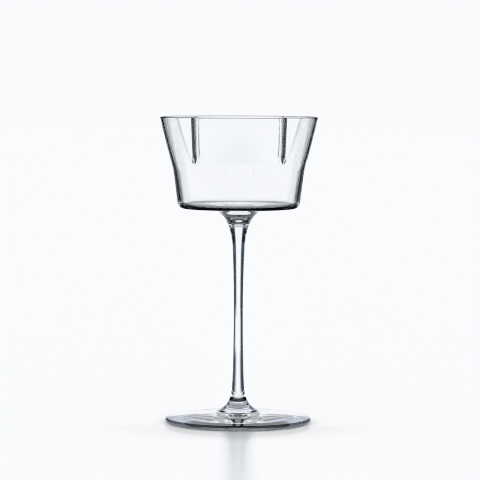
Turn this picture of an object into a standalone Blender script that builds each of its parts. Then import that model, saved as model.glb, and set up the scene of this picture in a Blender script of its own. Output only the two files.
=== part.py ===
"""Cocktail coupe in clear glass: a blown bowl with pleats in its flare, a drawn stem and a spun foot.

The three gathers are joined hot at two round flat seats, one under the bowl and one on the foot.
The glass stands on z = 0 with its axis on Z. All sizes are in metres.
"""

import math

import bmesh
import bpy

# The whole glass
OVERALL_HEIGHT = 0.165
BOWL_HEIGHT = 0.0493
FOOT_HEIGHT = 0.0065
SEAM_GAP = 0.0003

# Bowl: heights are measured up from its underside
RIM_RADIUS = 0.0425
BEND_RADIUS = 0.03525
BASE_RADIUS = 0.03255
BEND_HEIGHT = 0.0212
FLARE_SWELL = 0.0003
RIM_WALL = 0.0012
BEND_WALL = 0.00145
BASE_WALL = 0.0021
FLOOR_THICKNESS = 0.0014
BASE_FILLET = 0.0037
INNER_FILLET = 0.0031
BEND_FILLET = 0.042

# Pleats: upright V-shaped folds that hold the flare in, from the rim down to the bend.
# The skew draws them from the quarter turns towards the Y axis.
PLEAT_COUNT = 4
PLEAT_AZIMUTH = math.radians(45)
PLEAT_SKEW = math.radians(3.5)
VALLEY_RIM_RADIUS = 0.0366
VALLEY_FOOT_RADIUS = 0.0352
PLEAT_OPENING = 1.08
PLEAT_FOOT_HEIGHT = 0.0235
PLEAT_RUN_IN = 0.0050
LEAST_HALF_WIDTH = 0.0003
FOLD_SHARE = 0.05
MITRE_SHARE = 0.8
SHOULDER_ROUND = 0.0013
SHOULDER_INSET = 0.32
MOST_SHOULDER_SHARE = 0.8

# Stem: a waist between two necks, each opening into its seat
STEM_WAIST_RADIUS = 0.00247
STEM_WAIST_SHARE = 0.51
HEAD_NECK_RADIUS = 0.0041
HEAD_SEAT_RADIUS = 0.0134
HEAD_FLARE_LENGTH = 0.0057
BASE_NECK_RADIUS = 0.0036
BASE_SEAT_RADIUS = 0.0115
BASE_FLARE_LENGTH = 0.0035
SEAT_EDGE = 0.0004

# Foot: a low dome with a round edge, hollowed below so that it stands on a ring
FOOT_RADIUS = 0.0394
FOOT_EDGE = 0.0030
FOOT_SWELL = 0.0003
FOOT_PAD_MARGIN = 0.0003
REST_WIDTH = 0.0030
HOLLOW_DEPTH = 0.0012

# Fineness of the facets
PLEAT_COLUMNS = (0.12, 0.35, 0.6, 0.8, 1.0, 1.25, 1.6)
COLUMN_HALF_WIDTH = 0.0020
LOBE_STEPS = 6
ARC_STEPS = 4
WALL_STEPS = 3
FLARE_STEPS = 7
STEM_STEPS = 34
DOME_STEPS = 7
STEM_TURN_STEPS = 36
FOOT_TURN_STEPS = 72

BOWL_Z = OVERALL_HEIGHT - BOWL_HEIGHT
STEM_Z = FOOT_HEIGHT + SEAM_GAP
STEM_LENGTH = BOWL_Z - SEAM_GAP - STEM_Z


def mix(start, end, share):
    """The value a share of the way from start to end."""
    return start + (end - start) * share


def between(value, low, high):
    """The value's place from low to high, held within 0 and 1."""
    return min(1.0, max(0.0, (value - low) / (high - low)))


def line(start, end, steps):
    """Points after start, up to and including end."""
    return [
        (mix(start[0], end[0], step / steps), mix(start[1], end[1], step / steps))
        for step in range(1, steps + 1)
    ]


def arc(centre, radius, start_angle, end_angle, steps):
    """Points on a circle from start_angle to end_angle, both included."""
    angles = [mix(start_angle, end_angle, step / steps) for step in range(steps + 1)]
    return [
        (centre[0] + radius * math.cos(angle), centre[1] + radius * math.sin(angle))
        for angle in angles
    ]


def rounded(before, corner, after, radius, steps):
    """Points of the fillet that rounds a corner of a profile, limited by its shorter side."""
    back = math.atan2(before[1] - corner[1], before[0] - corner[0])
    on = math.atan2(after[1] - corner[1], after[0] - corner[0])
    turn = (on - back + math.pi) % (2 * math.pi) - math.pi
    half = abs(turn) / 2
    reach = min(
        radius / math.tan(half),
        0.45 * math.dist(before, corner),
        0.45 * math.dist(corner, after),
    )
    radius = reach * math.tan(half)
    aim = back + turn / 2
    span = radius / math.sin(half)
    centre = (corner[0] + span * math.cos(aim), corner[1] + span * math.sin(aim))
    side = math.copysign(math.pi / 2, turn)
    first = back - side
    last = on + side
    sweep = (last - first + math.pi) % (2 * math.pi) - math.pi
    return arc(centre, radius, first, first + sweep, steps)


def wall_at(height):
    """Wall thickness of the bowl at a height above its underside."""
    if height < BEND_HEIGHT:
        return mix(BASE_WALL, BEND_WALL, between(height, 0.0, BEND_HEIGHT))
    return mix(BEND_WALL, RIM_WALL, between(height, BEND_HEIGHT, BOWL_HEIGHT))


def swollen(points):
    """The flare's points, pushed out a little at mid height."""
    swell = []
    for radius, height in points:
        share = between(height, BEND_HEIGHT, BOWL_HEIGHT)
        swell.append((radius + FLARE_SWELL * 4 * share * (1 - share), height))
    return swell


def outer_profile(lip_height):
    """Radius and height down the bowl's outside, from the middle of the underside to the lip."""
    seat = (HEAD_SEAT_RADIUS, 0.0)
    base = (BASE_RADIUS, 0.0)
    bend = (BEND_RADIUS, BEND_HEIGHT)
    rim = (RIM_RADIUS, BOWL_HEIGHT)
    lip = (mix(BEND_RADIUS, RIM_RADIUS, between(lip_height, BEND_HEIGHT, BOWL_HEIGHT)), lip_height)
    heel = rounded(seat, base, bend, BASE_FILLET, ARC_STEPS)
    knee = rounded(base, bend, rim, BEND_FILLET, ARC_STEPS)
    wall = line(heel[-1], knee[0], WALL_STEPS)[:-1]
    return [seat] + heel + wall + swollen(knee + line(knee[-1], lip, FLARE_STEPS))


def inner_profile(lip_height):
    """Radius and height up the bowl's inside, from the floor to the lip."""
    floor = (0.0, FLOOR_THICKNESS)
    floor_share = between(FLOOR_THICKNESS, 0.0, BEND_HEIGHT)
    heel_radius = mix(BASE_RADIUS, BEND_RADIUS, floor_share) - wall_at(FLOOR_THICKNESS)
    base = (heel_radius, FLOOR_THICKNESS)
    bend = (BEND_RADIUS - BEND_WALL, BEND_HEIGHT)
    rim = (RIM_RADIUS - RIM_WALL, BOWL_HEIGHT)
    lip_share = between(lip_height, BEND_HEIGHT, BOWL_HEIGHT)
    lip = (mix(bend[0], rim[0], lip_share), lip_height)
    heel = rounded(floor, base, bend, INNER_FILLET, ARC_STEPS)
    knee = rounded(base, bend, rim, BEND_FILLET, ARC_STEPS)
    wall = line(heel[-1], knee[0], WALL_STEPS)[:-1]
    return heel + wall + swollen(knee + line(knee[-1], lip, FLARE_STEPS))


def pleat_share(offset, fold_share, shoulder_share):
    """Share of a pleat's depth at an offset from its valley, counted in half widths."""

    def tent(place):
        rise = 1.0 - math.hypot(place, fold_share)
        return (rise + math.hypot(rise, shoulder_share)) / 2

    return tent(offset) / tent(0.0)


def column_angles(half_angle):
    """Azimuths round a ring, gathered about the pleats."""
    lobe = math.pi / PLEAT_COUNT
    side = [share * half_angle for share in PLEAT_COLUMNS]
    shoulder = side[-1]
    side += [mix(shoulder, lobe, step / LOBE_STEPS) for step in range(1, LOBE_STEPS)]
    around = [-angle for angle in reversed(side)] + [0.0] + side + [lobe]
    return [[PLEAT_AZIMUTH + 2 * lobe * pleat + angle for angle in around] for pleat in range(PLEAT_COUNT)]


def section(radius, height, wall):
    """One closed ring of the bowl. The wall is 0 for the outside."""
    rise = between(height, PLEAT_FOOT_HEIGHT, BOWL_HEIGHT)
    valley_radius = mix(VALLEY_FOOT_RADIUS, VALLEY_RIM_RADIUS, rise)
    run_in = between(height, PLEAT_FOOT_HEIGHT, PLEAT_FOOT_HEIGHT + PLEAT_RUN_IN)
    ease = run_in * run_in * (3 - 2 * run_in)
    depth = max(0.0, radius + wall - valley_radius) * ease
    half_width = max(LEAST_HALF_WIDTH, PLEAT_OPENING * depth)
    shoulder_round = max(LEAST_HALF_WIDTH, SHOULDER_ROUND - SHOULDER_INSET * wall)
    shoulder_share = min(MOST_SHOULDER_SHARE, shoulder_round / half_width)
    mitre = MITRE_SHARE * wall * (math.hypot(1.0, depth / half_width) - 1.0)
    fold_share = FOLD_SHARE
    if depth > 0.0:
        fold_share = max(FOLD_SHARE, mitre / (depth + mitre))
        half_width *= 1.0 + mitre / depth
    lobe = math.pi / PLEAT_COUNT
    half_angle = half_width / (radius + wall)
    column_angle = min(max(half_width, COLUMN_HALF_WIDTH) / (radius + wall), lobe / 3)
    ring = []
    for pleat, azimuths in enumerate(column_angles(column_angle)):
        valley = PLEAT_AZIMUTH + 2 * lobe * pleat
        for azimuth in azimuths:
            share = pleat_share((azimuth - valley) / half_angle, fold_share, shoulder_share)
            reach = radius - depth * share
            turned = azimuth + PLEAT_SKEW * math.sin(2 * azimuth)
            ring.append((reach * math.cos(turned), reach * math.sin(turned), height))
    return ring


def lip_rings(outer, inner):
    """Rings over the fire-polished lip, from the last outer ring to the last inner one."""
    rings = []
    for step in range(1, ARC_STEPS):
        angle = math.pi * step / ARC_STEPS
        share = (1 - math.cos(angle)) / 2
        ring = []
        for out, inside in zip(outer, inner):
            height = out[2] + math.sin(angle) * RIM_WALL / 2
            ring.append((mix(out[0], inside[0], share), mix(out[1], inside[1], share), height))
        rings.append(ring)
    return rings


def bowl_rings():
    """Every ring of the bowl, up the outside, over the lip and down to the floor."""
    lip_height = BOWL_HEIGHT - RIM_WALL / 2
    outer = [section(radius, height, 0.0) for radius, height in outer_profile(lip_height)]
    inner = [section(radius, height, wall_at(height)) for radius, height in inner_profile(lip_height)]
    lip = lip_rings(outer[-1], inner[-1])
    underside = [(0.0, 0.0, 0.0)]
    floor = [(0.0, 0.0, FLOOR_THICKNESS)]
    return [underside] + outer + lip + inner[::-1] + [floor]


def stem_profile():
    """Radius and height down the stem, from the middle of its head to the middle of its base."""
    low = SEAT_EDGE
    high = STEM_LENGTH - SEAT_EDGE
    waist = STEM_LENGTH * STEM_WAIST_SHARE
    points = [(0.0, STEM_LENGTH), (HEAD_SEAT_RADIUS, STEM_LENGTH)]
    for step in range(STEM_STEPS + 1):
        turn = math.cos(math.pi * step / STEM_STEPS)
        height = mix(low, high, (1 + turn) / 2)
        if height > waist:
            taper = (HEAD_NECK_RADIUS - STEM_WAIST_RADIUS) * between(height, waist, high) ** 2
        else:
            taper = (BASE_NECK_RADIUS - STEM_WAIST_RADIUS) * (1 - between(height, low, waist)) ** 2
        head = (HEAD_SEAT_RADIUS - HEAD_NECK_RADIUS) * math.exp((height - high) / HEAD_FLARE_LENGTH)
        base = (BASE_SEAT_RADIUS - BASE_NECK_RADIUS) * math.exp((low - height) / BASE_FLARE_LENGTH)
        points.append((STEM_WAIST_RADIUS + taper + head + base, height))
    return points + [(BASE_SEAT_RADIUS, 0.0), (0.0, 0.0)]


def foot_profile():
    """Radius and height down the foot, from the middle of its seat to the middle of its hollow."""
    pad = (BASE_SEAT_RADIUS + FOOT_PAD_MARGIN, FOOT_HEIGHT)
    edge_radius = FOOT_EDGE / 2
    brink = (FOOT_RADIUS - edge_radius, FOOT_EDGE)
    dome = []
    for radius, height in line(pad, brink, DOME_STEPS):
        share = between(radius, pad[0], brink[0])
        dome.append((radius, height + FOOT_SWELL * 4 * share * (1 - share)))
    edge = arc((brink[0], edge_radius), edge_radius, math.pi / 2, -math.pi / 2, 2 * ARC_STEPS)
    ring = brink[0] - REST_WIDTH
    hollow = []
    for step in range(ARC_STEPS + 1):
        radius = ring * (1 - step / ARC_STEPS)
        hollow.append((radius, HOLLOW_DEPTH * (1 - (radius / ring) ** 2)))
    return [(0.0, FOOT_HEIGHT), pad] + dome[:-1] + edge + hollow


def clear_scene():
    """Removes every object of the open scene."""
    for item in list(bpy.data.objects):
        bpy.data.objects.remove(item, do_unlink=True)


def glass(name, tint, roughness):
    """A clear glass material."""
    material = bpy.data.materials.new(name)
    material.use_nodes = True
    shader = material.node_tree.nodes["Principled BSDF"]
    shader.inputs["Base Color"].default_value = (*tint, 1.0)
    shader.inputs["Roughness"].default_value = roughness
    shader.inputs["Metallic"].default_value = 0.0
    shader.inputs["Transmission Weight"].default_value = 1.0
    shader.inputs["IOR"].default_value = 1.5
    return material


def place(name, mesh, material, height, parent):
    """Adds a sub-part to the coupe's collection, standing at a height on the axis."""
    part = bpy.data.objects.new(name, mesh)
    part.data.materials.append(material)
    part.location.z = height
    part.parent = parent
    parent.users_collection[0].objects.link(part)
    return part


def lofted(name, rings):
    """A closed mesh through rings of points, whose first and last rings are single points."""
    form = bmesh.new()
    loops = [[form.verts.new(point) for point in ring] for ring in rings]
    for lower, upper in zip(loops, loops[1:]):
        count = max(len(lower), len(upper))
        for index in range(count):
            after = (index + 1) % count
            corners = [lower[index % len(lower)], lower[after % len(lower)]]
            corners += [upper[after % len(upper)], upper[index % len(upper)]]
            form.faces.new(list(dict.fromkeys(corners)))
    mesh = bpy.data.meshes.new(name)
    form.to_mesh(mesh)
    form.free()
    mesh.shade_smooth()
    return mesh


def profile_mesh(name, points):
    """An open chain of edges in the XZ plane."""
    mesh = bpy.data.meshes.new(name)
    edges = [(index, index + 1) for index in range(len(points) - 1)]
    mesh.from_pydata([(radius, 0.0, height) for radius, height in points], edges, [])
    return mesh


def turn(part, steps):
    """Turns a part's profile about the axis."""
    screw = part.modifiers.new("turn", "SCREW")
    screw.axis = "Z"
    screw.angle = 2 * math.pi
    screw.steps = steps
    screw.render_steps = steps
    screw.use_merge_vertices = True
    screw.merge_threshold = 0.00001
    screw.use_smooth_shade = True


def build():
    """Models the three pieces and stands them on one axis."""
    clear_scene()
    collection = bpy.data.collections.new("cocktail_coupe")
    bpy.context.scene.collection.children.link(collection)
    axis = bpy.data.objects.new("coupe_axis", None)
    collection.objects.link(axis)

    bowl_glass = glass("bowl_glass", (0.95, 0.96, 0.97), 0.02)
    stem_glass = glass("stem_glass", (0.94, 0.95, 0.97), 0.02)
    foot_glass = glass("foot_glass", (0.93, 0.95, 0.97), 0.03)

    place("bowl", lofted("bowl", bowl_rings()), bowl_glass, BOWL_Z, axis)
    stem = place("stem", profile_mesh("stem", stem_profile()), stem_glass, STEM_Z, axis)
    turn(stem, STEM_TURN_STEPS)
    foot = place("foot", profile_mesh("foot", foot_profile()), foot_glass, 0.0, axis)
    turn(foot, FOOT_TURN_STEPS)


build()
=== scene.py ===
"""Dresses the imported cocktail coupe: a blown bowl, a drawn stem and a spun foot, on a pale studio floor.

All sizes are in metres, in the part's own frame: the glass stands on z = 0 with its axis on Z.
"""

from __future__ import annotations

import logging
import math
from dataclasses import dataclass, field
from enum import Enum
from typing import Any

import bpy
import numpy as np
from mathutils import Euler, Matrix, Vector

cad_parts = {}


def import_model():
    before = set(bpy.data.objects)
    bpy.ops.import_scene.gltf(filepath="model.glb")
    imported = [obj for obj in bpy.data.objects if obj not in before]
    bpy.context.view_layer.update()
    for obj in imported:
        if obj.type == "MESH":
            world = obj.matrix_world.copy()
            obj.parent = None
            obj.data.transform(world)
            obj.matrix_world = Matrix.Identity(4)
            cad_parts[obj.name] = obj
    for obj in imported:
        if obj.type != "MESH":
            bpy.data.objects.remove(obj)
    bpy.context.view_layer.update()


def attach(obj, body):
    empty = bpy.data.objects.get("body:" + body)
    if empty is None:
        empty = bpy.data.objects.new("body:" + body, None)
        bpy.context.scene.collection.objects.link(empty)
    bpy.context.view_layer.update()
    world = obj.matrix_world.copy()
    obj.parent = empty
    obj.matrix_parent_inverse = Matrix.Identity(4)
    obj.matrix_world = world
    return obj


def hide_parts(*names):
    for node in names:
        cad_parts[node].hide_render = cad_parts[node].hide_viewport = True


LOG = logging.getLogger("coupe")

Point = tuple[float, float]
Colour = tuple[float, float, float]

# Light Path counts above this mean at least once.
ONCE = 0.5
# The edges of dark cards fade through this blue.
FADE_BLUE: Colour = (0.004, 0.13, 0.36)
# A fillet takes up this much of the shorter side at most.
FILLET_SIDE_SHARE = 0.45
# Points closer than this are one point.
SAME_PLACE = 0.000002


def mix(start: float, end: float, share: float) -> float:
    """Gives the value a share of the way from start to end."""
    return start + (end - start) * share


def between(value: Any, low: float, high: float) -> Any:
    """Gives the value's place from low to high, held within 0 and 1."""
    return np.clip((value - low) / (high - low), 0.0, 1.0)


def hump(share: float) -> float:
    """Rises from 0 to 1 and falls back to 0 as the share goes from 0 to 1."""
    return 4 * share * (1 - share)


class Shade:
    """A socket that takes part in Python expressions, each of which adds its Math node."""

    def __init__(self, bench: NodeBench, socket: bpy.types.NodeSocket) -> None:
        """Wraps one output socket of a bench's tree."""
        self.bench = bench
        self.socket = socket

    def __add__(self, other: Shade | float) -> Shade:
        """Gives self + other."""
        return self.bench.math("ADD", self, other)

    def __radd__(self, other: float) -> Shade:
        """Gives other + self."""
        return self.bench.math("ADD", other, self)

    def __sub__(self, other: Shade | float) -> Shade:
        """Gives self - other."""
        return self.bench.math("SUBTRACT", self, other)

    def __rsub__(self, other: float) -> Shade:
        """Gives other - self."""
        return self.bench.math("SUBTRACT", other, self)

    def __mul__(self, other: Shade | float) -> Shade:
        """Gives self * other."""
        return self.bench.math("MULTIPLY", self, other)

    def __rmul__(self, other: float) -> Shade:
        """Gives other * self."""
        return self.bench.math("MULTIPLY", other, self)

    def __truediv__(self, other: Shade | float) -> Shade:
        """Gives self / other."""
        return self.bench.math("DIVIDE", self, other)

    def __rtruediv__(self, other: float) -> Shade:
        """Gives other / self."""
        return self.bench.math("DIVIDE", other, self)

    def __gt__(self, other: Shade | float) -> Shade:
        """Gives 1 where self is greater than other, and 0 elsewhere."""
        return self.bench.math("GREATER_THAN", self, other)

    def __abs__(self) -> Shade:
        """Gives self without its sign."""
        return self.bench.math("ABSOLUTE", self)


class NodeBench:
    """The emptied node tree of one material or world."""

    def __init__(self, tree: bpy.types.NodeTree) -> None:
        """Clears the tree."""
        self.tree = tree
        tree.nodes.clear()

    def add(
        self,
        kind: str,
        settings: dict[str, Any] | None = None,
        sockets: dict[str | int, Any] | None = None,
    ) -> bpy.types.Node:
        """Adds a node of any type.

        Args:
            kind: The node's type.
            settings: Properties that are set first.
            sockets: Values or links of its inputs, by name or index.

        Returns:
            The new node.
        """
        node = self.tree.nodes.new(kind)
        for name, value in (settings or {}).items():
            setattr(node, name, value)
        for name, value in (sockets or {}).items():
            if isinstance(value, Shade):
                self.tree.links.new(value.socket, node.inputs[name])
            else:
                node.inputs[name].default_value = value
        return node

    def out(self, node: bpy.types.Node, name: str | int = 0) -> Shade:
        """Wraps one output of a node."""
        return Shade(self, node.outputs[name])

    def math(self, operation: str, *values: Shade | float) -> Shade:
        """Adds a Math node and wraps its result."""
        node = self.add("ShaderNodeMath", {"operation": operation}, dict(enumerate(values)))
        return self.out(node)

    def ramp(self, value: Shade, low: float, high: float) -> Shade:
        """Rises smoothly from 0 at low to 1 at high."""
        node = self.add(
            "ShaderNodeMapRange",
            {"interpolation_type": "SMOOTHSTEP"},
            {"Value": value, "From Min": low, "From Max": high},
        )
        return self.out(node)

    def band(self, value: Shade, low: float, high: float, low_fade: float, high_fade: float) -> Shade:
        """Gives 1 between low and high, fading inwards from both ends."""
        rise = self.ramp(value, low, low + low_fade)
        return rise * (1 - self.ramp(value, high - high_fade, high))

    def reach(self, x: Shade, y: Shade) -> Shade:
        """Gives the distance from the axis."""
        return self.math("SQRT", x * x + y * y)

    def axes(self) -> tuple[Shade, Shade, Shade]:
        """Gives the three Object coordinates."""
        place = self.out(self.add("ShaderNodeTexCoord"), "Object")
        parts = self.add("ShaderNodeSeparateXYZ", None, {0: place})
        return self.out(parts, 0), self.out(parts, 1), self.out(parts, 2)

    def vector(self, x: Shade | float, y: Shade | float, z: Shade | float) -> Shade:
        """Joins three values into a vector."""
        return self.out(self.add("ShaderNodeCombineXYZ", None, {0: x, 1: y, 2: z}))

    def noise(self, place: Shade) -> Shade:
        """Gives a smooth noise between 0 and 1."""
        sockets = {"Vector": place, "Scale": 1.0, "Detail": 1.0, "Roughness": 0.5}
        return self.out(self.add("ShaderNodeTexNoise", None, sockets))

    def blend(self, share: Shade, first: Shade | Colour, second: Shade | Colour) -> Shade:
        """Mixes two colours."""
        ends = [end if isinstance(end, Shade) else (*end, 1.0) for end in (first, second)]
        node = self.add("ShaderNodeMix", {"data_type": "RGBA"}, {"Factor": share, "A": ends[0], "B": ends[1]})
        return self.out(node, "Result")

    def layer(self, share: Shade, below: bpy.types.Node, above: bpy.types.Node) -> bpy.types.Node:
        """Lays one shader over a share of another."""
        return self.add("ShaderNodeMixShader", None, {0: share, 1: self.out(below), 2: self.out(above)})

    def finish(self, shader: bpy.types.Node, output: str = "ShaderNodeOutputMaterial") -> None:
        """Leads a shader to the tree's output."""
        self.add(output, None, {"Surface": self.out(shader)})


def new_material(name: str) -> tuple[bpy.types.Material, NodeBench]:
    """Makes an empty material.

    Args:
        name: The material's name.

    Returns:
        The material and the bench of its nodes.
    """
    material = bpy.data.materials.new(name)
    material.use_nodes = True
    return material, NodeBench(material.node_tree)


class Working(Enum):
    """How a piece of hot glass was worked, which sets the faint figure in it."""

    BLOWN = "blown"
    DRAWN = "drawn"
    SPUN = "spun"


@dataclass(frozen=True)
class ClearGlass:
    """Clear fire-polished glass with the faint figure of its working."""

    name: str
    working: Working
    tint: Colour
    cord_tint: Colour
    figure_scale: float
    figure_depth: float
    # Near-black colour painted into the glass as dark bands of shade.
    painted_shade_tint: Colour = (0.004, 0.005, 0.008)
    roughness: float = 0.0
    refraction: float = 1.5
    blown_upright: float = 1.6
    drawn_cords: float = 2.0
    spun_cords: float = 0.6

    def _painted_shade(self, bench: NodeBench) -> Shade | None:
        """Gives the share of painted shade at each place, from 0 to 1, or None where none is painted."""
        return None

    def _figure(self, bench: NodeBench) -> Shade:
        """Gives the height of the unevenness that the working leaves."""
        x, y, z = bench.axes()
        scale = self.figure_scale
        if self.working is Working.BLOWN:
            return bench.noise(bench.vector(x * scale, y * scale, z * (scale * self.blown_upright)))
        turn = bench.math("ARCTAN2", y, x)
        cosine = bench.math("COSINE", turn)
        sine = bench.math("SINE", turn)
        if self.working is Working.DRAWN:
            cords = self.drawn_cords
            return bench.noise(bench.vector(cosine * cords, sine * cords, z * scale))
        cords = self.spun_cords
        return bench.noise(bench.vector(bench.reach(x, y) * scale, cosine * cords, sine * cords))

    def material(self) -> bpy.types.Material:
        """Makes the material.

        Returns:
            The new material.
        """
        material, bench = new_material(self.name)
        figure = self._figure(bench)
        normal = bench.add(
            "ShaderNodeBump",
            None,
            {"Height": figure, "Distance": self.figure_depth, "Strength": 1.0},
        )
        colour = bench.blend(figure, self.tint, self.cord_tint)
        # Painted shade: dark bands are mixed into the glass's colour here.
        shade_share = self._painted_shade(bench)
        if shade_share is not None:
            colour = bench.blend(shade_share, colour, self.painted_shade_tint)
        shader = bench.add(
            "ShaderNodeBsdfPrincipled",
            None,
            {
                "Base Color": colour,
                "Roughness": self.roughness,
                "IOR": self.refraction,
                "Transmission Weight": 1.0,
                "Normal": bench.out(normal),
            },
        )
        bench.finish(shader)
        return material


@dataclass(frozen=True)
class BowlGlass(ClearGlass):
    """The bowl's glass, with painted shade: dark bands in its colour along the two folds on the -Y side, the
    lip and the heel.
    """

    # Where and how strongly shade is painted along the folds, the lip and the heel.
    fold_width_high: float = 0.0010
    fold_width_low: float = 0.0009
    fold_core: float = 0.75
    fold_cosine: float = -0.122
    fold_low: float = 0.1410
    fold_run_in: float = 0.003
    front_fade: float = 0.002
    lip_low: float = 0.1643
    lip_fade: float = 0.0003
    lip_shade_share: float = 0.45
    heel_low: float = 0.1158
    heel_high: float = 0.1174
    heel_inner: float = 0.0255
    heel_outer: float = 0.0295
    heel_shade_share: float = 0.9

    def _fold_shade(self, bench: NodeBench) -> Shade:
        """Gives the painted shade along the two folds on the -Y side, in bands which narrow downwards.

        The field fold_cosine is the cosine of twice a fold's azimuth. Close to a fold, half the difference
        from it is nearly the angle to the fold.
        """
        x, y, z = bench.axes()
        turn = bench.math("ARCTAN2", y, x)
        arc = bench.reach(x, y) * abs(bench.math("COSINE", turn * 2.0) - self.fold_cosine) * 0.5
        width = bench.ramp(z, self.fold_low, self.lip_low)
        width = width * (self.fold_width_high - self.fold_width_low) + self.fold_width_low
        fold = 1 - bench.ramp(arc / width, self.fold_core, 1.0)
        fold = fold * bench.ramp(z, self.fold_low, self.fold_low + self.fold_run_in)
        return fold * (1 - bench.ramp(y, -self.front_fade, self.front_fade))

    def _painted_shade(self, bench: NodeBench) -> Shade | None:
        """Gives the share of painted shade at each place, from 0 to 1."""
        x, y, z = bench.axes()
        # Painted shade in bands along the lip and round the heel, besides the folds.
        lip = bench.ramp(z, self.lip_low, self.lip_low + self.lip_fade)
        heel = 1 - bench.ramp(z, self.heel_low, self.heel_high)
        heel = heel * bench.ramp(bench.reach(x, y), self.heel_inner, self.heel_outer)
        lip_and_heel_shade = bench.math("MAXIMUM", lip * self.lip_shade_share, heel * self.heel_shade_share)
        return bench.math("MAXIMUM", self._fold_shade(bench), lip_and_heel_shade)


@dataclass(frozen=True)
class FootGlass(ClearGlass):
    """The foot's glass, with a band of painted shade along its round edge."""

    # Where and how strongly shade is painted along the foot's edge.
    edge_inner: float = 0.0379
    edge_outer: float = 0.0388
    edge_shade_share: float = 0.75

    def _painted_shade(self, bench: NodeBench) -> Shade | None:
        """Gives the share of painted shade at each place, from 0 to 1."""
        x, y, _ = bench.axes()
        return bench.ramp(bench.reach(x, y), self.edge_inner, self.edge_outer) * self.edge_shade_share


@dataclass(frozen=True)
class FusedSeam:
    """The face where two pieces of glass are melted into one, which light crosses unturned."""

    name: str = "fused_seam"

    def material(self) -> bpy.types.Material:
        """Makes the material.

        Returns:
            The new material.
        """
        material, bench = new_material(self.name)
        shader = bench.add(
            "ShaderNodeBsdfPrincipled",
            None,
            {"Base Color": (1.0, 1.0, 1.0, 1.0), "Roughness": 0.0, "Alpha": 0.0},
        )
        bench.finish(shader)
        return material


class Lathe:
    """Turns profiles into closed pieces with the edit mode tools."""

    start_size = 0.001
    smooth_angle = math.radians(40)
    level_normal = 0.999
    seam_reach = 0.00001

    @staticmethod
    def clear() -> None:
        """Deselects everything, since an operator acts on all that is selected."""
        if bpy.context.object and bpy.context.object.mode != "OBJECT":
            bpy.ops.object.mode_set(mode="OBJECT")
        bpy.ops.object.select_all(action="DESELECT")

    @classmethod
    def turn(cls, name: str, profile: list[Point], steps: int) -> bpy.types.Object:
        """Draws a profile point by point and spins it about the axis.

        Args:
            name: The piece's name.
            profile: Radius and height of each point, from the axis back to the axis.
            steps: Columns round the piece.

        Returns:
            The closed piece, with its faces pointing out.
        """
        cls.clear()
        radius, height = profile[0]
        bpy.ops.mesh.primitive_plane_add(size=cls.start_size, location=(0.0, 0.0, 0.0))
        piece = bpy.context.object
        piece.name = name
        piece.data.name = name
        bpy.ops.object.mode_set(mode="EDIT")
        bpy.ops.mesh.select_all(action="SELECT")
        bpy.ops.mesh.merge(type="CENTER")
        bpy.ops.transform.translate(value=(radius, 0.0, height))
        for after_radius, after_height in profile[1:]:
            step = (after_radius - radius, 0.0, after_height - height)
            bpy.ops.mesh.extrude_region_move(TRANSFORM_OT_translate={"value": step})
            radius, height = after_radius, after_height
        bpy.ops.object.mode_set(mode="OBJECT")
        bpy.ops.object.modifier_add(type="SCREW")
        lathe = piece.modifiers[0]
        lathe.steps = steps
        lathe.render_steps = steps
        bpy.ops.object.modifier_apply(modifier=lathe.name)
        bpy.ops.object.mode_set(mode="EDIT")
        bpy.ops.mesh.select_all(action="SELECT")
        bpy.ops.mesh.remove_doubles(threshold=SAME_PLACE)
        bpy.ops.mesh.select_all(action="SELECT")
        bpy.ops.mesh.normals_make_consistent(inside=False)
        bpy.ops.object.mode_set(mode="OBJECT")
        return piece

    @classmethod
    def smooth(cls, piece: bpy.types.Object) -> None:
        """Shades a piece smooth, up to the sharp corners of its seams."""
        cls.clear()
        piece.select_set(True)
        bpy.context.view_layer.objects.active = piece
        bpy.ops.object.shade_smooth_by_angle(angle=cls.smooth_angle)

    @classmethod
    def dress(cls, piece: bpy.types.Object, glass: ClearGlass, seams: list[tuple[float, float]]) -> None:
        """Gives a piece its glass, and its seam faces the fused seam.

        Args:
            piece: The piece.
            glass: Its glass.
            seams: Height and outer radius of each flat seam.
        """
        piece.data.materials.clear()
        piece.data.materials.append(glass.material())
        piece.data.materials.append(FusedSeam(name=f"{piece.name}_fused_seam").material())
        for face in piece.data.polygons:
            reach = math.hypot(face.center.x, face.center.y)
            level = abs(face.normal.z) > cls.level_normal
            on_seam = any(
                abs(face.center.z - height) < cls.seam_reach and reach < radius for height, radius in seams
            )
            face.material_index = 1 if level and on_seam else 0


def line(start: Point, end: Point, steps: int) -> list[Point]:
    """Gives the points after start, up to and including end."""
    shares = [step / steps for step in range(1, steps + 1)]
    return [(mix(start[0], end[0], share), mix(start[1], end[1], share)) for share in shares]


def arc(centre: Point, radius: float, first: float, last: float, steps: int) -> list[Point]:
    """Gives the points of a circle from the first angle to the last, both included."""
    angles = [mix(first, last, step / steps) for step in range(steps + 1)]
    return [(centre[0] + radius * math.cos(angle), centre[1] + radius * math.sin(angle)) for angle in angles]


def rounded(before: Point, corner: Point, after: Point, radius: float, steps: int) -> list[Point]:
    """Rounds a corner of a profile.

    Args:
        before: The point before the corner.
        corner: The corner.
        after: The point after it.
        radius: The fillet's radius, limited by the shorter side.
        steps: Steps along the fillet.

    Returns:
        The fillet's points.
    """
    back = math.atan2(before[1] - corner[1], before[0] - corner[0])
    on = math.atan2(after[1] - corner[1], after[0] - corner[0])
    turn = (on - back + math.pi) % (2 * math.pi) - math.pi
    half = abs(turn) / 2
    shorter = min(math.dist(before, corner), math.dist(corner, after))
    radius = min(radius / math.tan(half), FILLET_SIDE_SHARE * shorter) * math.tan(half)
    span = radius / math.sin(half)
    aim = back + turn / 2
    centre = (corner[0] + span * math.cos(aim), corner[1] + span * math.sin(aim))
    side = math.copysign(math.pi / 2, turn)
    sweep = (on + side - (back - side) + math.pi) % (2 * math.pi) - math.pi
    return arc(centre, radius, back - side, back - side + sweep, steps)


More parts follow.
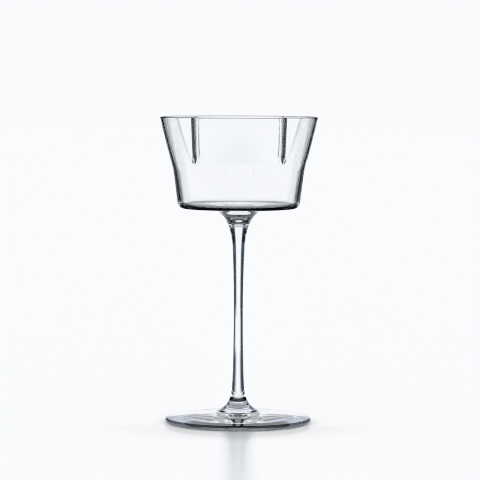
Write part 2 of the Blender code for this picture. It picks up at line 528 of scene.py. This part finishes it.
@dataclass
class Bowl:
    """The blown bowl, whose flare is drawn in by four upright pleats."""

    base_z: float = 0.1157
    height: float = 0.0493
    rim_radius: float = 0.0425
    bend_radius: float = 0.03525
    base_radius: float = 0.03255
    bend_height: float = 0.0212
    flare_swell: float = 0.0003
    rim_wall: float = 0.0012
    bend_wall: float = 0.00145
    base_wall: float = 0.0021
    floor_thickness: float = 0.0014
    base_fillet: float = 0.0037
    inner_fillet: float = 0.0031
    bend_fillet: float = 0.042
    seat_radius: float = 0.0134
    pleats: int = 4
    pleat_azimuth: float = math.radians(45)
    pleat_skew: float = math.radians(3.5)
    valley_rim_radius: float = 0.0366
    valley_foot_radius: float = 0.0352
    pleat_opening: float = 1.08
    pleat_foot_height: float = 0.0235
    pleat_run_in: float = 0.0050
    mitre_share: float = 0.8
    fold: float = 0.05
    shoulder_round: float = 0.0013
    shoulder_inset: float = 0.32
    least_shoulder: float = 0.0003
    most_shoulder_share: float = 0.8
    least_half_width: float = 0.0003
    least_depth: float = 1e-9
    least_reach: float = 0.001
    columns: int = 384
    gathering: float = 0.25
    floor_steps: int = 6
    fillet_steps: int = 16
    wall_steps: int = 8
    bend_steps: int = 22
    flare_steps: int = 40
    lip_steps: int = 14
    points_at_once: int = 4096
    glass: ClearGlass = field(
        default_factory=lambda: BowlGlass(
            name="bowl_clear_glass",
            working=Working.BLOWN,
            tint=(0.985, 0.988, 0.992),
            cord_tint=(0.97, 0.975, 0.985),
            figure_scale=60.0,
            figure_depth=0.00002,
        )
    )

    @property
    def lip_height(self) -> float:
        """Height at which the round lip starts."""
        return self.height - self.rim_wall / 2

    def wall_at(self, height: Any) -> Any:
        """Gives the wall's thickness at a height above the underside."""
        lower = mix(self.base_wall, self.bend_wall, between(height, 0.0, self.bend_height))
        upper = mix(self.bend_wall, self.rim_wall, between(height, self.bend_height, self.height))
        return np.where(height < self.bend_height, lower, upper)

    def _swollen(self, points: list[Point]) -> list[Point]:
        """Pushes the flare's points out a little at mid height."""
        swell = []
        for radius, height in points:
            share = float(between(height, self.bend_height, self.height))
            swell.append((radius + self.flare_swell * hump(share), height))
        return swell

    def outside(self) -> list[Point]:
        """Gives the outside's profile, from the seat under the bowl to the lip."""
        seat = (self.seat_radius, 0.0)
        base = (self.base_radius, 0.0)
        bend = (self.bend_radius, self.bend_height)
        rim = (self.rim_radius, self.height)
        share = float(between(self.lip_height, self.bend_height, self.height))
        lip = (mix(self.bend_radius, self.rim_radius, share), self.lip_height)
        heel = rounded(seat, base, bend, self.base_fillet, self.fillet_steps)
        knee = rounded(base, bend, rim, self.bend_fillet, self.bend_steps)
        wall = line(heel[-1], knee[0], self.wall_steps)[:-1]
        floor = line(seat, heel[0], self.floor_steps)[:-1]
        return [seat] + floor + heel + wall + self._swollen(knee + line(knee[-1], lip, self.flare_steps))

    def inside(self) -> list[Point]:
        """Gives the inside's profile, from the floor to the lip."""
        floor = (0.0, self.floor_thickness)
        share = float(between(self.floor_thickness, 0.0, self.bend_height))
        wall_radius = mix(self.base_radius, self.bend_radius, share)
        base = (wall_radius - float(self.wall_at(self.floor_thickness)), self.floor_thickness)
        bend = (self.bend_radius - self.bend_wall, self.bend_height)
        rim = (self.rim_radius - self.rim_wall, self.height)
        share = float(between(self.lip_height, self.bend_height, self.height))
        lip = (mix(bend[0], rim[0], share), self.lip_height)
        heel = rounded(floor, base, bend, self.inner_fillet, self.fillet_steps)
        knee = rounded(base, bend, rim, self.bend_fillet, self.bend_steps)
        wall = line(heel[-1], knee[0], self.wall_steps)[:-1]
        start = line(floor, heel[0], self.floor_steps)[:-1]
        return start + heel + wall + self._swollen(knee + line(knee[-1], lip, self.flare_steps))

    def _lip(self, out: Point, inner: Point) -> list[tuple[float, float, float]]:
        """Gives the round lip's points: radius, height and share of the way inwards."""
        points = []
        for step in range(1, self.lip_steps):
            angle = math.pi * step / self.lip_steps
            share = (1 - math.cos(angle)) / 2
            height = self.lip_height + math.sin(angle) * self.rim_wall / 2
            points.append((mix(out[0], inner[0], share), height, share))
        return points

    @staticmethod
    def _tent(place: np.ndarray, fold: np.ndarray, shoulder: np.ndarray) -> np.ndarray:
        """Gives a pleat's share of its depth at a place counted in half widths."""
        rise = 1.0 - np.hypot(place, fold)
        crest = 1.0 - fold
        return (rise + np.hypot(rise, shoulder)) / (crest + np.hypot(crest, shoulder))

    def _pressed(self, radius: np.ndarray, height: np.ndarray, offset: np.ndarray, inner: bool) -> np.ndarray:
        """Presses the pleats into a surface of the bowl.

        Args:
            radius: Each point's radius as turned.
            height: Its height above the underside.
            offset: Its azimuth from the nearest valley.
            inner: Whether the surface is the inside.

        Returns:
            Each point's radius with the pleats.
        """
        wall = self.wall_at(height) if inner else np.zeros_like(height)
        rise = between(height, self.pleat_foot_height, self.height)
        valley = mix(self.valley_foot_radius, self.valley_rim_radius, rise)
        run_in = between(height, self.pleat_foot_height, self.pleat_foot_height + self.pleat_run_in)
        ease = run_in * run_in * (3 - 2 * run_in)
        depth = np.maximum(self.least_depth, (radius + wall - valley) * ease)
        half_width = np.maximum(self.least_half_width, self.pleat_opening * depth)
        round_off = np.maximum(self.least_shoulder, self.shoulder_round - self.shoulder_inset * wall)
        shoulder = np.minimum(self.most_shoulder_share, round_off / half_width)
        mitre = self.mitre_share * wall * (np.hypot(1.0, depth / half_width) - 1.0)
        growth = 1.0 + mitre / depth
        fold = np.maximum(self.fold, mitre / (depth + mitre))
        place = offset * np.maximum(radius + wall, self.least_reach) / (half_width * growth)
        return radius - depth * self._tent(place, fold, shoulder)

    def build(self) -> bpy.types.Object:
        """Models the bowl: spun from its profile, then pleated.

        Returns:
            The dressed bowl.
        """
        outer = self.outside()
        inner = self.inside()
        lip = self._lip(outer[-1], inner[-1])
        profile = [(0.0, 0.0)] + outer + [point[:2] for point in lip] + inner[::-1]
        sides = [0.0] * (1 + len(outer)) + [point[2] for point in lip] + [1.0] * len(inner)
        piece = Lathe.turn("blown_bowl", profile, self.columns)
        self._pleat(piece, np.array(profile), np.array(sides))
        Lathe.smooth(piece)
        Lathe.dress(piece, self.glass, [(self.base_z, self.seat_radius)])
        return piece

    def _pleat(self, piece: bpy.types.Object, profile: np.ndarray, sides: np.ndarray) -> None:
        """Moves the turned bowl's points into the pleats and up to the bowl's place.

        Args:
            piece: The turned bowl.
            profile: Radius and height of each ring.
            sides: Share of the way from the outside, 0, to the inside, 1, of each ring.
        """
        mesh = piece.data
        points = np.empty(len(mesh.vertices) * 3)
        mesh.vertices.foreach_get("co", points)
        points = points.reshape(-1, 3)
        radius = np.hypot(points[:, 0], points[:, 1])
        height = points[:, 2]
        ring = np.empty(len(points), dtype=int)
        for start in range(0, len(points), self.points_at_once):
            part = slice(start, start + self.points_at_once)
            gap = np.hypot(radius[part, None] - profile[None, :, 0], height[part, None] - profile[None, :, 1])
            ring[part] = np.argmin(gap, axis=1)
        side = sides[ring]
        lobe = math.pi / self.pleats
        azimuth = np.arctan2(points[:, 1], points[:, 0])
        pleat = np.round((azimuth - self.pleat_azimuth) / (2 * lobe))
        valley = self.pleat_azimuth + pleat * 2 * lobe
        place = (azimuth - valley) / lobe
        offset = lobe * (self.gathering * place + (1 - self.gathering) * place**3)
        lip_height = np.full_like(height, self.lip_height)
        lip_out = np.full_like(height, self.outside()[-1][0])
        lip_in = np.full_like(height, self.inside()[-1][0])
        on_lip = mix(
            self._pressed(lip_out, lip_height, offset, False),
            self._pressed(lip_in, lip_height, offset, True),
            side,
        )
        out = self._pressed(radius, height, offset, False)
        inside = self._pressed(radius, height, offset, True)
        reach = np.where(side <= 0.0, out, np.where(side >= 1.0, inside, on_lip))
        reach = np.where(radius < SAME_PLACE, 0.0, reach)
        turned = valley + offset
        turned = turned + self.pleat_skew * np.sin(2 * turned)
        points[:, 0] = reach * np.cos(turned)
        points[:, 1] = reach * np.sin(turned)
        points[:, 2] = height + self.base_z
        mesh.vertices.foreach_set("co", points.ravel())
        mesh.update()


@dataclass
class Stem:
    """The drawn stem: a waist between two necks, each opening into its seat."""

    base_z: float = 0.0065
    top_z: float = 0.1157
    waist_radius: float = 0.00247
    waist_share: float = 0.51
    head_neck_radius: float = 0.0041
    head_seat_radius: float = 0.0134
    head_flare: float = 0.0057
    base_neck_radius: float = 0.0036
    base_seat_radius: float = 0.0115
    base_flare: float = 0.0035
    columns: int = 128
    rings: int = 240
    glass: ClearGlass = field(
        default_factory=lambda: ClearGlass(
            name="stem_clear_glass",
            working=Working.DRAWN,
            tint=(0.985, 0.988, 0.992),
            cord_tint=(0.97, 0.975, 0.985),
            figure_scale=60.0,
            figure_depth=0.00002,
        )
    )

    def radius_at(self, height: float) -> float:
        """Gives the stem's radius at a height."""
        waist = mix(self.base_z, self.top_z, self.waist_share)
        if height > waist:
            neck, end = self.head_neck_radius, self.top_z
        else:
            neck, end = self.base_neck_radius, self.base_z
        taper = (neck - self.waist_radius) * float(between(height, waist, end)) ** 2
        head = math.exp((height - self.top_z) / self.head_flare)
        base = math.exp((self.base_z - height) / self.base_flare)
        flare = (self.head_seat_radius - self.head_neck_radius) * head
        flare += (self.base_seat_radius - self.base_neck_radius) * base
        return self.waist_radius + taper + flare

    def build(self) -> bpy.types.Object:
        """Models the stem by spinning its profile.

        Returns:
            The dressed stem.
        """
        profile = [(0.0, self.top_z)]
        for ring in range(self.rings + 1):
            turn = math.cos(math.pi * ring / self.rings)
            height = mix(self.base_z, self.top_z, (1 + turn) / 2)
            profile.append((self.radius_at(height), height))
        profile.append((0.0, self.base_z))
        piece = Lathe.turn("drawn_stem", profile, self.columns)
        Lathe.smooth(piece)
        seams = [(self.top_z, self.head_seat_radius), (self.base_z, self.base_seat_radius)]
        Lathe.dress(piece, self.glass, seams)
        return piece


@dataclass
class Foot:
    """The spun foot: a low dome with a round edge, hollowed below."""

    height: float = 0.0065
    seat_radius: float = 0.0115
    radius: float = 0.0394
    edge: float = 0.0030
    swell: float = 0.0003
    rest_width: float = 0.0030
    hollow_depth: float = 0.0012
    columns: int = 384
    dome_steps: int = 40
    edge_steps: int = 24
    hollow_steps: int = 32
    glass: ClearGlass = field(
        default_factory=lambda: FootGlass(
            name="foot_clear_glass",
            working=Working.SPUN,
            tint=(0.98, 0.985, 0.99),
            cord_tint=(0.965, 0.972, 0.982),
            figure_scale=160.0,
            figure_depth=0.00002,
        )
    )

    def profile(self) -> list[Point]:
        """Gives the profile, from the middle of the seat to the middle of the hollow."""
        pad = (self.seat_radius, self.height)
        edge_radius = self.edge / 2
        brink = (self.radius - edge_radius, self.edge)
        dome = []
        for radius, height in line(pad, brink, self.dome_steps):
            share = float(between(radius, pad[0], brink[0]))
            dome.append((radius, height + self.swell * hump(share)))
        edge = arc((brink[0], edge_radius), edge_radius, math.pi / 2, -math.pi / 2, self.edge_steps)
        ring = brink[0] - self.rest_width
        hollow = []
        for step in range(self.hollow_steps + 1):
            radius = ring * (1 - step / self.hollow_steps)
            hollow.append((radius, self.hollow_depth * (1 - (radius / ring) ** 2)))
        return [(0.0, self.height), pad] + dome[:-1] + edge + hollow

    def build(self) -> bpy.types.Object:
        """Models the foot by spinning its profile.

        Returns:
            The dressed foot.
        """
        piece = Lathe.turn("spun_foot", self.profile(), self.columns)
        Lathe.smooth(piece)
        Lathe.dress(piece, self.glass, [(self.height, self.seat_radius)])
        return piece


@dataclass
class PhotoCamera:
    """A long lens at the photograph's viewing angle."""

    distance: float = 1.456
    height: float = 0.1875
    side: float = 0.00074
    pitch: float = math.radians(3.49)
    roll: float = math.radians(0.22)
    lens: float = 203.4
    sensor: float = 36.0
    clip_start: float = 0.05
    clip_end: float = 30.0

    def build(self) -> bpy.types.Object:
        """Places the camera and makes it the scene's.

        Returns:
            The camera.
        """
        data = bpy.data.cameras.new("photo_camera")
        data.lens = self.lens
        data.sensor_width = self.sensor
        data.clip_start = self.clip_start
        data.clip_end = self.clip_end
        camera = bpy.data.objects.new("photo_camera", data)
        bpy.context.scene.collection.objects.link(camera)
        aim = Euler((math.pi / 2 - self.pitch, 0.0, 0.0)).to_matrix() @ Matrix.Rotation(self.roll, 3, "Z")
        camera.rotation_euler = aim.to_euler()
        camera.location = (self.side, -self.distance, self.height)
        bpy.context.scene.camera = camera
        return camera


class Seen(Enum):
    """Which light in the glass meets a dark card."""

    ALWAYS = "all of it"
    THROUGH = "what only passed through the glass"
    INSIDE = "what turned back inside the glass"

    def hidden(self, bench: NodeBench) -> Shade:
        """Gives 1 where the light passes the card by, as all light off the floor does."""
        path = bench.add("ShaderNodeLightPath")
        off_floor = bench.out(path, "Diffuse Depth") > ONCE
        turned = bench.out(path, "Glossy Depth") > ONCE
        if self is Seen.THROUGH:
            return bench.math("MAXIMUM", off_floor, turned)
        if self is Seen.INSIDE:
            entered = bench.out(path, "Transmission Depth") > ONCE
            return bench.math("MAXIMUM", off_floor, 1 - turned * entered)
        return off_floor


@dataclass(frozen=True)
class DarkCard:
    """A dark piece of the stage that shows only in the glass."""

    name: str
    seen: Seen = field(default=Seen.ALWAYS, kw_only=True)
    colour: Colour = field(default=(0.004, 0.006, 0.010), kw_only=True)

    def _cover(self, bench: NodeBench) -> Shade:
        """Gives how much light the card stops at each place, from 0 to 1."""
        raise NotImplementedError

    def _shape(self) -> bpy.types.Object:
        """Makes the bare card in its place."""
        raise NotImplementedError

    def _material(self) -> bpy.types.Material:
        """Makes the card's dark face, which turns blue and fades out towards its edges."""
        material, bench = new_material(self.name)
        material.cycles.emission_sampling = "NONE"
        cover = self._cover(bench)
        shown = bench.blend(cover, FADE_BLUE, self.colour)
        light = bench.add("ShaderNodeEmission", None, {"Color": shown, "Strength": 1.0})
        clear = bench.add("ShaderNodeBsdfTransparent")
        bench.finish(bench.layer(cover * (1 - self.seen.hidden(bench)), clear, light))
        return material

    def build(self, stand: bpy.types.Object) -> None:
        """Puts the card up on its stand.

        Args:
            stand: The empty that carries the card.
        """
        Lathe.clear()
        card = self._shape()
        card.name = self.name
        card.data.materials.append(self._material())
        card.parent = stand
        card.visible_camera = False
        card.visible_diffuse = False
        card.visible_shadow = False
        card.visible_glossy = self.seen is not Seen.THROUGH


@dataclass(frozen=True)
class DarkFlag(DarkCard):
    """An upright dark card behind or beside the glass, from a near end to a far end."""

    near: Point
    far: Point
    low: float
    high: float
    near_fade: float
    far_fade: float
    low_fade: float
    high_fade: float

    @property
    def length(self) -> float:
        """The card's length along the floor."""
        return math.dist(self.near, self.far)

    def _cover(self, bench: NodeBench) -> Shade:
        """Gives how much light the card stops at each place, from 0 to 1."""
        along, _, up = bench.axes()
        sideways = bench.band(along, 0.0, self.length, self.near_fade, self.far_fade)
        return sideways * bench.band(up, self.low, self.high, self.low_fade, self.high_fade)

    def _shape(self) -> bpy.types.Object:
        """Makes the bare card in its place."""
        bpy.ops.mesh.primitive_plane_add(size=1.0, location=(0.0, 0.0, 0.0))
        card = bpy.context.object
        for vertex in card.data.vertices:
            share = vertex.co.x + 0.5
            rise = vertex.co.y + 0.5
            vertex.co = (share * self.length, 0.0, mix(self.low, self.high, rise))
        card.location = (*self.near, 0.0)
        heading = math.atan2(self.far[1] - self.near[1], self.far[0] - self.near[0])
        card.rotation_euler = (0.0, 0.0, heading)
        return card


@dataclass(frozen=True)
class DarkCollar(DarkCard):
    """A level dark ring about the axis, which may leave out a slot on one side and both wings.

    The slot and the wings are bounded by the share of a place's distance from the axis that lies sideways.
    """

    height: float
    inner: float
    outer: float
    inner_fade: float
    outer_fade: float
    slot_start: float = 0.0
    slot_end: float = 0.0
    slot_side: float = 1.0
    slot_fade: float = 0.002
    wing_start: float = 1.0
    wing_end: float = 1.0

    def _cover(self, bench: NodeBench) -> Shade:
        """Gives how much light the ring stops at each place, from 0 to 1."""
        x, y, _ = bench.axes()
        reach = bench.reach(x, y)
        ring = bench.band(reach, self.inner, self.outer, self.inner_fade, self.outer_fade)
        sideways = abs(x) / reach
        if self.slot_end:
            slot = 1 - bench.ramp(sideways, self.slot_start, self.slot_end)
            ring = ring * (1 - slot * bench.ramp(y * self.slot_side, 0.0, self.slot_fade))
        if self.wing_start < 1.0:
            ring = ring * (1 - bench.ramp(sideways, self.wing_start, self.wing_end))
        return ring

    def _shape(self) -> bpy.types.Object:
        """Makes the bare sheet that carries the ring, in its place."""
        bpy.ops.mesh.primitive_plane_add(size=2 * self.outer, location=(0.0, 0.0, 0.0))
        sheet = bpy.context.object
        sheet.location = (0.0, 0.0, self.height)
        return sheet


@dataclass
class Studio:
    """A pale floor in soft even light, with dark cards that draw lines in the glass."""

    backdrop: Colour = (0.947, 0.956, 0.973)
    floor_half: float = 8.0
    floor_drop: float = 0.00005
    floor_white: float = 0.94
    floor_lift: float = 1.009
    floor_refraction: float = 1.4
    # The strip's gloss is greyer than the floor, so besides mirroring the stem it paints a darker streak in
    # front of it.
    sheen_and_streak_shade_colour: Colour = (0.785, 0.81, 0.85)
    sheen_roughness: float = 0.20
    sheen_half_width: float = 0.003
    sheen_side_fade: float = 0.008
    sheen_start: float = 0.12
    sheen_end: float = 0.50
    sheen_back_fade: float = 0.03
    # The skirt's grey gloss mirrors the foot's darkened edge and darkens the floor in front of the foot: a
    # painted soft shadow, partly real reflection.
    skirt_start: float = 0.050
    skirt_end: float = 0.085
    skirt_back_fade: float = 0.03
    skirt_gloss: float = 0.6
    skirt_roughness: float = 0.12
    # Heights of the camera at which the low cards start to sink and are all down.
    sink_from: float = 0.34
    sink_to: float = 0.36
    sink_depth: float = 2.0
    pixel_filter: float = 1.0
    bounces: tuple[tuple[str, int], ...] = (
        ("max_bounces", 40),
        ("transmission_bounces", 32),
        ("glossy_bounces", 16),
        ("diffuse_bounces", 3),
        ("transparent_max_bounces", 24),
    )
    flags: tuple[DarkFlag, ...] = (
        DarkFlag(
            "left_flag", near=(-0.075, 0.30), far=(-0.55, 0.30), low=0.02, high=0.34,
            near_fade=0.04, far_fade=0.20, low_fade=0.02, high_fade=0.08,
        ),
        DarkFlag(
            "right_flag", near=(0.075, 0.30), far=(0.55, 0.30), low=0.02, high=0.34,
            near_fade=0.04, far_fade=0.20, low_fade=0.02, high_fade=0.08,
        ),
        DarkFlag(
            "top_flag", near=(-0.50, 0.60), far=(0.50, 0.60), low=0.30, high=4.00,
            near_fade=0.10, far_fade=0.10, low_fade=0.30, high_fade=0.10,
        ),
        DarkFlag(
            "left_side_card", near=(-0.09, 0.07), far=(-0.09, -0.03), low=0.0, high=0.105,
            near_fade=0.002, far_fade=0.04, low_fade=0.0001, high_fade=0.015,
        ),
        DarkFlag(
            "right_side_card", near=(0.09, 0.07), far=(0.09, -0.04), low=0.0, high=0.105,
            near_fade=0.002, far_fade=0.04, low_fade=0.0001, high_fade=0.015,
        ),
    )
    low_cards: tuple[DarkCard, ...] = (
        DarkFlag(
            "left_low_card", near=(-0.009, 0.07), far=(-0.09, 0.07), low=0.0, high=0.105,
            near_fade=0.028, far_fade=0.002, low_fade=0.0001, high_fade=0.015, seen=Seen.THROUGH,
        ),
        DarkFlag(
            "right_low_card", near=(0.014, 0.07), far=(0.09, 0.07), low=0.0, high=0.105,
            near_fade=0.047, far_fade=0.002, low_fade=0.0001, high_fade=0.015, seen=Seen.THROUGH,
        ),
        DarkCollar(
            "bowl_collar", height=0.1135, inner=0.0145, outer=0.044, inner_fade=0.002, outer_fade=0.007,
            slot_start=0.42, slot_end=0.60,
        ),
        DarkCollar(
            "floor_collar", height=0.0015, inner=0.043, outer=0.35, inner_fade=0.004, outer_fade=0.10,
            slot_start=0.09, slot_end=0.50, seen=Seen.THROUGH,
        ),
        DarkCollar(
            "ceiling_card", height=0.60, inner=0.08, outer=0.90, inner_fade=0.06, outer_fade=0.20,
            seen=Seen.INSIDE,
        ),
        DarkCollar(
            "front_ring", height=0.0020, inner=0.060, outer=0.25, inner_fade=0.02, outer_fade=0.10,
            slot_start=0.50, slot_end=0.65, slot_side=-1.0, wing_start=0.88, wing_end=0.96, seen=Seen.INSIDE,
        ),
        DarkCollar(
            "foot_wedge", height=0.0003, inner=0.018, outer=0.044, inner_fade=0.004, outer_fade=0.001,
            slot_start=0.36, slot_end=0.46, wing_start=0.72, wing_end=0.82, seen=Seen.THROUGH,
        ),
        DarkCollar(
            "flare_patch", height=0.00025, inner=0.024, outer=0.0350, inner_fade=0.004, outer_fade=0.006,
            slot_start=0.95, slot_end=1.0, slot_side=-1.0, wing_start=0.40, wing_end=0.50,
            seen=Seen.INSIDE, colour=(0.43, 0.48, 0.59),
        ),
        DarkCollar("foot_disc", height=0.0002, inner=-1.0, outer=0.020, inner_fade=0.1, outer_fade=0.010),
    )

    def world(self) -> None:
        """Lights the scene evenly, a little brighter for the floor, which then matches the backdrop."""
        world = bpy.data.worlds.new("studio")
        bpy.context.scene.world = world
        world.use_nodes = True
        world.cycles.sampling_method = "NONE"
        bench = NodeBench(world.node_tree)
        path = bench.add("ShaderNodeLightPath")
        off_floor = bench.out(path, "Diffuse Depth") > ONCE
        lit = bench.math("MAXIMUM", off_floor, bench.out(path, "Is Diffuse Ray"))
        daylight = tuple(self.floor_lift * value / self.floor_white for value in self.backdrop)
        shown = bench.blend(lit, self.backdrop, daylight)
        light = bench.add("ShaderNodeBackground", None, {"Color": shown, "Strength": 1.0})
        bench.finish(light, "ShaderNodeOutputWorld")

    def _floor_material(self) -> bpy.types.Material:
        """Makes the pale matt floor, whose greyer gloss in a strip and a skirt mirrors the stem and the
        foot's edge and paints a darker streak and a soft shadow in front of them.
        """
        material, bench = new_material("pale_floor")
        x, y, _ = bench.axes()
        matt = bench.add("ShaderNodeBsdfDiffuse", None, {"Color": (*[self.floor_white] * 3, 1.0)})
        sheen_and_streak_shade = bench.add(
            "ShaderNodeBsdfAnisotropic",
            None,
            {"Color": (*self.sheen_and_streak_shade_colour, 1.0), "Roughness": self.sheen_roughness},
        )
        polish_and_painted_shadow = bench.add("ShaderNodeBsdfAnisotropic", None, {"Roughness": self.skirt_roughness})
        glance = bench.out(bench.add("ShaderNodeFresnel", None, {"IOR": self.floor_refraction}))
        # Painted shade: a greyer gloss along this strip darkens the floor in front of the stem, besides
        # mirroring it.
        strip = 1 - bench.ramp(abs(x), self.sheen_half_width, self.sheen_half_width + self.sheen_side_fade)
        strip = strip * (1 - bench.ramp(0 - y, self.sheen_start, self.sheen_end))
        strip = strip * (1 - bench.ramp(y, 0.0, self.sheen_back_fade))
        # Painted shadow: a greyer gloss in front of the foot, which also mirrors its darkened edge.
        shadow_skirt = 1 - bench.ramp(bench.reach(x, y), self.skirt_start, self.skirt_end)
        shadow_skirt = shadow_skirt * (1 - bench.ramp(y, -self.skirt_back_fade, 0.0))
        skirted = bench.layer(shadow_skirt * glance * self.skirt_gloss, matt, polish_and_painted_shadow)
        bench.finish(bench.layer(strip * glance, skirted, sheen_and_streak_shade))
        return material

    def floor(self, table: bpy.types.Object) -> None:
        """Lays the floor just under the glass.

        Args:
            table: The turntable.
        """
        Lathe.clear()
        bpy.ops.mesh.primitive_plane_add(size=2 * self.floor_half, location=(0.0, 0.0, -self.floor_drop))
        floor = bpy.context.object
        floor.name = "studio_floor"
        floor.data.materials.append(self._floor_material())
        floor.parent = table

    def turntable(self, camera: bpy.types.Object) -> bpy.types.Object:
        """Makes the turntable that carries the studio and faces the camera, so each view is lit alike.

        Args:
            camera: The scene's camera.

        Returns:
            The turntable.
        """
        table = bpy.data.objects.new("turntable", None)
        bpy.context.scene.collection.objects.link(table)
        track = table.constraints.new("LOCKED_TRACK")
        track.target = camera
        track.track_axis = "TRACK_NEGATIVE_Y"
        track.lock_axis = "LOCK_Z"
        return table

    def low_stand(self, camera: bpy.types.Object, table: bpy.types.Object) -> bpy.types.Object:
        """Makes the stand of the low cards, which sinks under the floor for a view from above.

        Args:
            camera: The scene's camera.
            table: The turntable.

        Returns:
            The stand.
        """
        stand = bpy.data.objects.new("low_stand", None)
        bpy.context.scene.collection.objects.link(stand)
        stand.parent = table
        sink = stand.constraints.new("TRANSFORM")
        sink.target = camera
        sink.target_space = "WORLD"
        sink.owner_space = "LOCAL"
        sink.map_from = "LOCATION"
        sink.map_to = "LOCATION"
        sink.from_min_z = self.sink_from
        sink.from_max_z = self.sink_to
        sink.to_max_z = -self.sink_depth
        return stand

    def build(self, camera: bpy.types.Object) -> None:
        """Sets up the whole studio.

        Args:
            camera: The scene's camera.
        """
        scene = bpy.context.scene
        scene.view_settings.view_transform = "Standard"
        scene.cycles.filter_width = self.pixel_filter
        # A glossy filter would grey the floor that shows through the foot.
        scene.cycles.blur_glossy = 0.0
        for kind, most in self.bounces:
            setattr(scene.cycles, kind, most)
        self.world()
        table = self.turntable(camera)
        self.floor(table)
        for flag in self.flags:
            flag.build(table)
        stand = self.low_stand(camera, table)
        for card in self.low_cards:
            card.build(stand)


def main() -> None:
    """Builds the glass piece by piece, then the studio around it."""
    logging.basicConfig(level=logging.INFO, format="%(message)s")
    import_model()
    makers = (("bowl", "bowl_glass", Bowl()), ("stem", "stem_glass", Stem()), ("foot", "foot_glass", Foot()))
    for node, slot, maker in makers:
        piece = maker.build()
        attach(piece, "root")
        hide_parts(node)
        piece.data.calc_loop_triangles()
        LOG.info("%s: %d triangles", piece.name, len(piece.data.loop_triangles))
    camera = PhotoCamera().build()
    Studio().build(camera)


if __name__ == "__main__":
    main()
